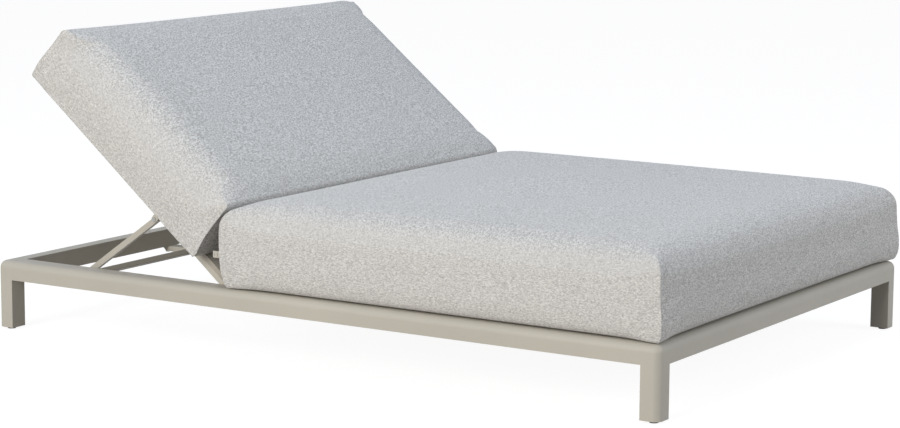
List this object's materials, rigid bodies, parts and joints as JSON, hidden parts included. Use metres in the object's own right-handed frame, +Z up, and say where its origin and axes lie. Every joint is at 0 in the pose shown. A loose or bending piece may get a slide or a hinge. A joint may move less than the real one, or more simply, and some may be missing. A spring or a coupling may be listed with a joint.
{
  "type": "double outdoor daybed",
  "caption": "Wide low outdoor daybed: powder-coated metal frame on square legs, slatted deck, hinged backrest on a folding prop, thick loose fabric cushions.",
  "frame": {"origin": "on the floor, under the middle of the frame's length and width", "axes": "+X from the left side to the right side, across the bed; +Y from the foot end to the head end, where the backrest is; +Z up"},
  "size_m": [1.3798, 2, 0.8231],
  "materials": {
    "frame_coat": "matt taupe powder coat, fine texture",
    "cushion_fabric": "light grey melange outdoor weave, matt",
    "cushion_foam": "open-cell foam, matt",
    "black_plastic": "moulded, matt",
    "buffer_rubber": "matt",
    "fastener_steel": "brushed stainless",
    "bearing_nylon": "moulded nylon, matt"
  },
  "bodies": {
    "base": {"side_rail_left": "frame_coat", "side_rail_right": "frame_coat", "head_rail": "frame_coat", "foot_rail": "frame_coat", "leg_foot_left": "frame_coat", "leg_foot_right": "frame_coat", "leg_head_left": "frame_coat", "leg_head_right": "frame_coat", "leg_inserts": "black_plastic", "glides": "black_plastic", "slat_ledge_left": "frame_coat", "slat_ledge_right": "frame_coat", "cross_rail": "frame_coat", "seat_beam": "frame_coat", "centre_tie": "frame_coat", "tie_screws": "fastener_steel", "seat_slat_1": "frame_coat", "seat_slat_2": "frame_coat", "seat_slat_3": "frame_coat", "seat_slat_4": "frame_coat", "seat_slat_5": "frame_coat", "seat_slat_6": "frame_coat", "seat_slat_7": "frame_coat", "seat_slat_8": "frame_coat", "seat_slat_screws": "fastener_steel", "rack_left": "frame_coat", "rack_right": "frame_coat", "rack_screws": "fastener_steel", "pivot_bolts": "fastener_steel", "pivot_spacers": "bearing_nylon", "pivot_nuts": "fastener_steel", "head_buffers": "buffer_rubber", "seat_cover": "cushion_fabric", "seat_core": "cushion_foam", "seat_zip_tab": "cushion_fabric"},
    "backrest": {"back_tube_left": "frame_coat", "back_tube_right": "frame_coat", "back_knuckles": "frame_coat", "pivot_bushes": "bearing_nylon", "back_foot_tube": "frame_coat", "back_mid_tube": "frame_coat", "back_head_tube": "frame_coat", "back_slat_1": "frame_coat", "back_slat_2": "frame_coat", "back_slat_3": "frame_coat", "back_slat_4": "frame_coat", "back_slat_5": "frame_coat", "back_slat_rivets": "fastener_steel", "back_slat_caps": "black_plastic", "back_tube_caps": "black_plastic", "prop_lugs": "frame_coat", "prop_pins": "fastener_steel"},
    "prop": {"prop_bushes": "bearing_nylon", "prop_arm_left": "frame_coat", "prop_arm_right": "frame_coat", "prop_foot_bar": "frame_coat", "prop_sleeves": "bearing_nylon"},
    "back_cushion": {"back_cover": "cushion_fabric", "back_core": "cushion_foam"}
  },
  "joints": [
    {"name": "backrest_hinge", "type": "hinge", "parent": "base", "child": "backrest", "pos_m": [0, 0.269, 0.1675], "axis": [1, 0, 0], "range_deg": [-39.4, 15]},
    {"name": "prop_hinge", "type": "hinge", "parent": "backrest", "child": "prop", "pos_m": [0, 0.52315, 0.32916], "axis": [1, 0, 0], "range_deg": [-30.1, 78.9]},
    {"name": "cushion_slide", "type": "slide", "parent": "backrest", "child": "back_cushion", "axis": [0, 0.7727, 0.6347], "range_m": [-0.1082, 0.0413]}
  ],
  "couplings": [
    {"joint": "prop_hinge", "follows": "backrest_hinge", "ratio": -2},
    {"joint": "cushion_slide", "follows": "backrest_hinge", "m_per_rad": 0.157}
  ]
}
